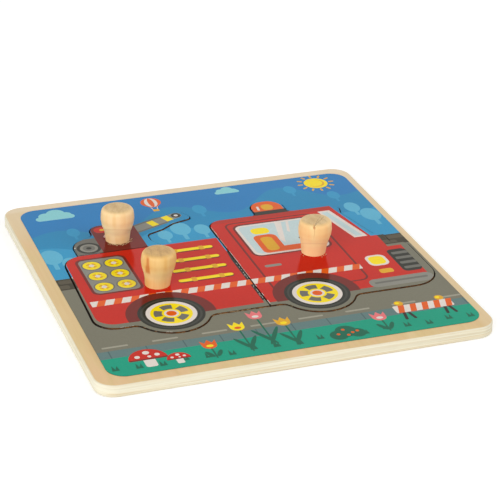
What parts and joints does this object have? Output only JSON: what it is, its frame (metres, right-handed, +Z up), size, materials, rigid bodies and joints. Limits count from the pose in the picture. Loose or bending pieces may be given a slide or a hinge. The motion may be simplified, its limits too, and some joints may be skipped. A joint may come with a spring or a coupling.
{
  "type": "peg puzzle",
  "caption": "Square wooden peg puzzle: a tray with a printed picture and a cut-out pocket, and vehicle-shaped tiles with turned wooden pegs that lift out of it.",
  "frame": {"origin": "middle of the board's underside, in the plane that the board rests on", "axes": "+X to the right of the picture, +Y to the top of the picture, +Z up, out of the picture"},
  "size_m": [0.22, 0.22, 0.0278],
  "materials": {
    "backing_ply": "sanded plywood",
    "frame_ply": "sanded plywood with a clear satin coat",
    "tile_ply": "plywood with dark cut edges",
    "print_sheet": "printed sheet under gloss lacquer",
    "peg_wood": "turned and sanded, satin"
  },
  "bodies": {
    "tray": {"backing_board": "backing_ply", "frame_board": "frame_ply", "frame_print": "print_sheet"},
    "rear_piece": {"rear_tile": "tile_ply", "rear_print": "print_sheet", "rear_peg": "peg_wood"},
    "cab_piece": {"cab_tile": "tile_ply", "cab_print": "print_sheet", "cab_peg": "peg_wood"},
    "boom_piece": {"boom_tile": "tile_ply", "boom_print": "print_sheet", "boom_peg": "peg_wood"}
  },
  "joints": [
    {"name": "rear_lift", "type": "slide", "parent": "tray", "child": "rear_piece", "axis": [0, 0, 1], "range_m": [0, 0.05]},
    {"name": "cab_lift", "type": "slide", "parent": "tray", "child": "cab_piece", "axis": [0, 0, 1], "range_m": [0, 0.05]},
    {"name": "boom_lift", "type": "slide", "parent": "tray", "child": "boom_piece", "axis": [0, 0, 1], "range_m": [0, 0.05]}
  ]
}
